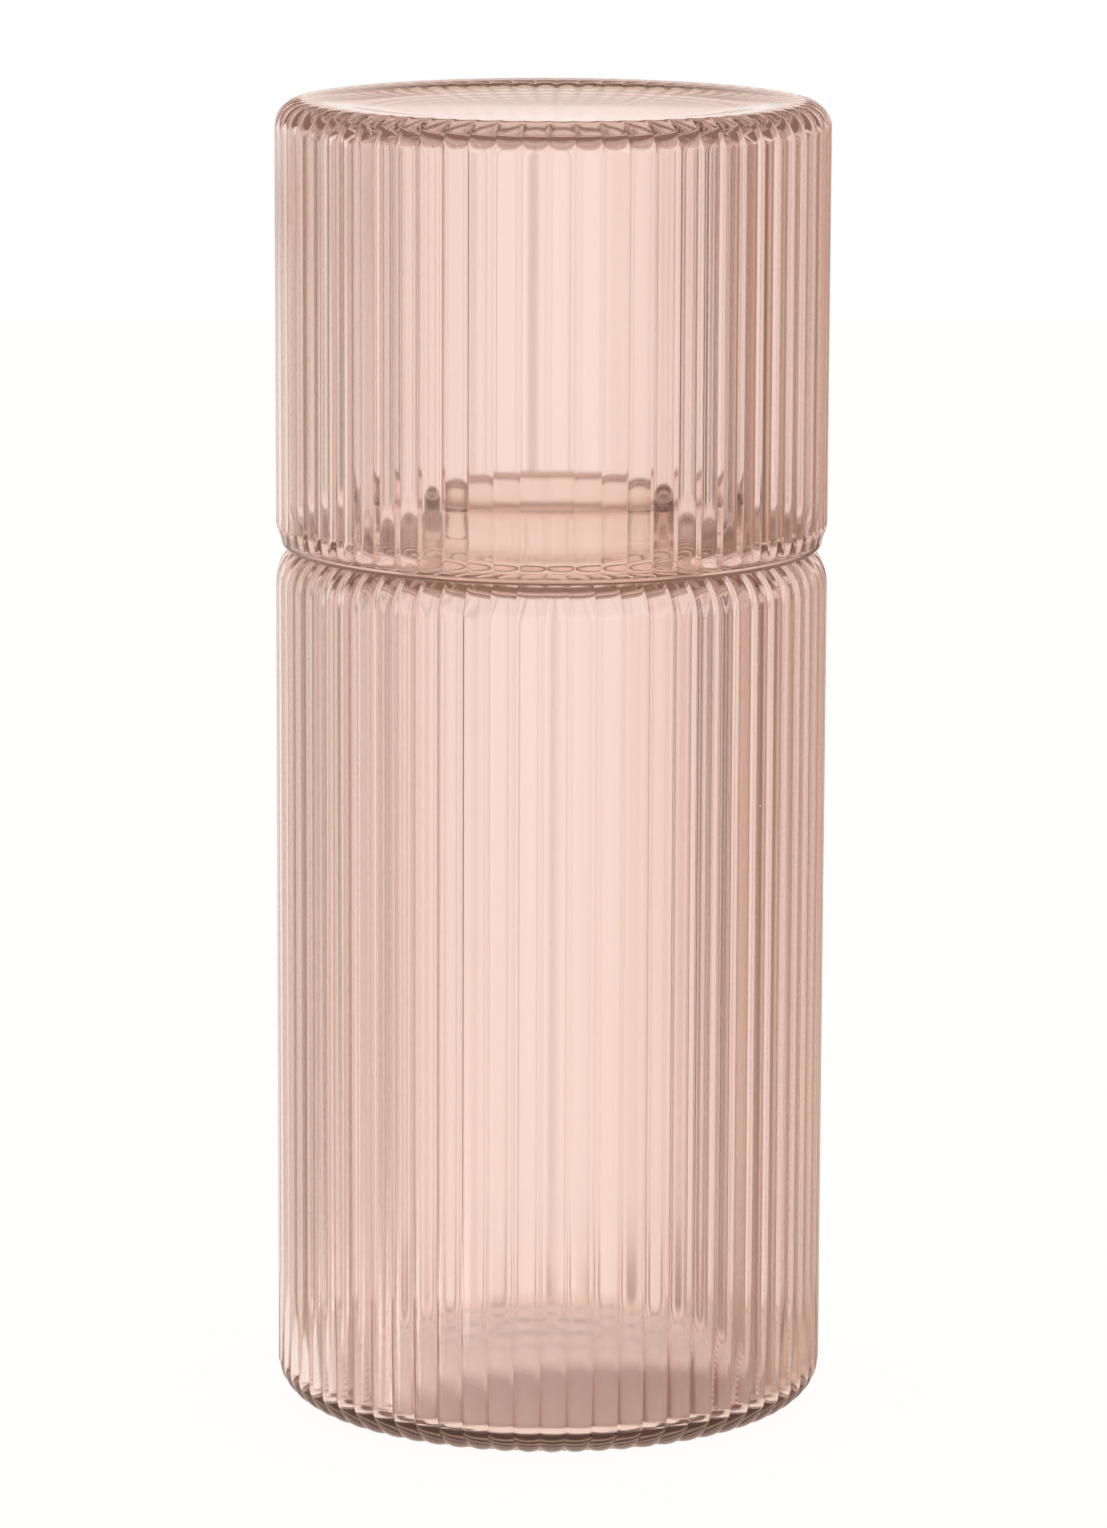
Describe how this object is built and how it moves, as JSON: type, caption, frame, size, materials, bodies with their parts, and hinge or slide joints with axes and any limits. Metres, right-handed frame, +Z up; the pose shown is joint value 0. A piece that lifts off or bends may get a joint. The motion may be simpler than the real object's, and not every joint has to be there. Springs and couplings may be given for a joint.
{
  "type": "bedside carafe with tumbler",
  "caption": "Straight reeded glass carafe with a short wide mouth, and a matching reeded tumbler that stands upside down over the mouth as its lid and lifts off to drink from.",
  "frame": {"origin": "centre of the carafe's base, on the surface that it stands on", "axes": "+Z up the common axis of both pieces; -Y towards the picture's camera, +X to its right"},
  "size_m": [0.09, 0.09, 0.2146],
  "materials": {
    "carafe_glass": "rose-tinted clear glass, polished",
    "tumbler_glass": "rose-tinted clear glass, polished"
  },
  "bodies": {
    "carafe": {"carafe": "carafe_glass"},
    "tumbler": {"tumbler": "tumbler_glass"}
  },
  "joints": [
    {"name": "tumbler_lift", "type": "slide", "parent": "carafe", "child": "tumbler", "axis": [0, 0, 1], "range_m": [0, 0.1]}
  ]
}
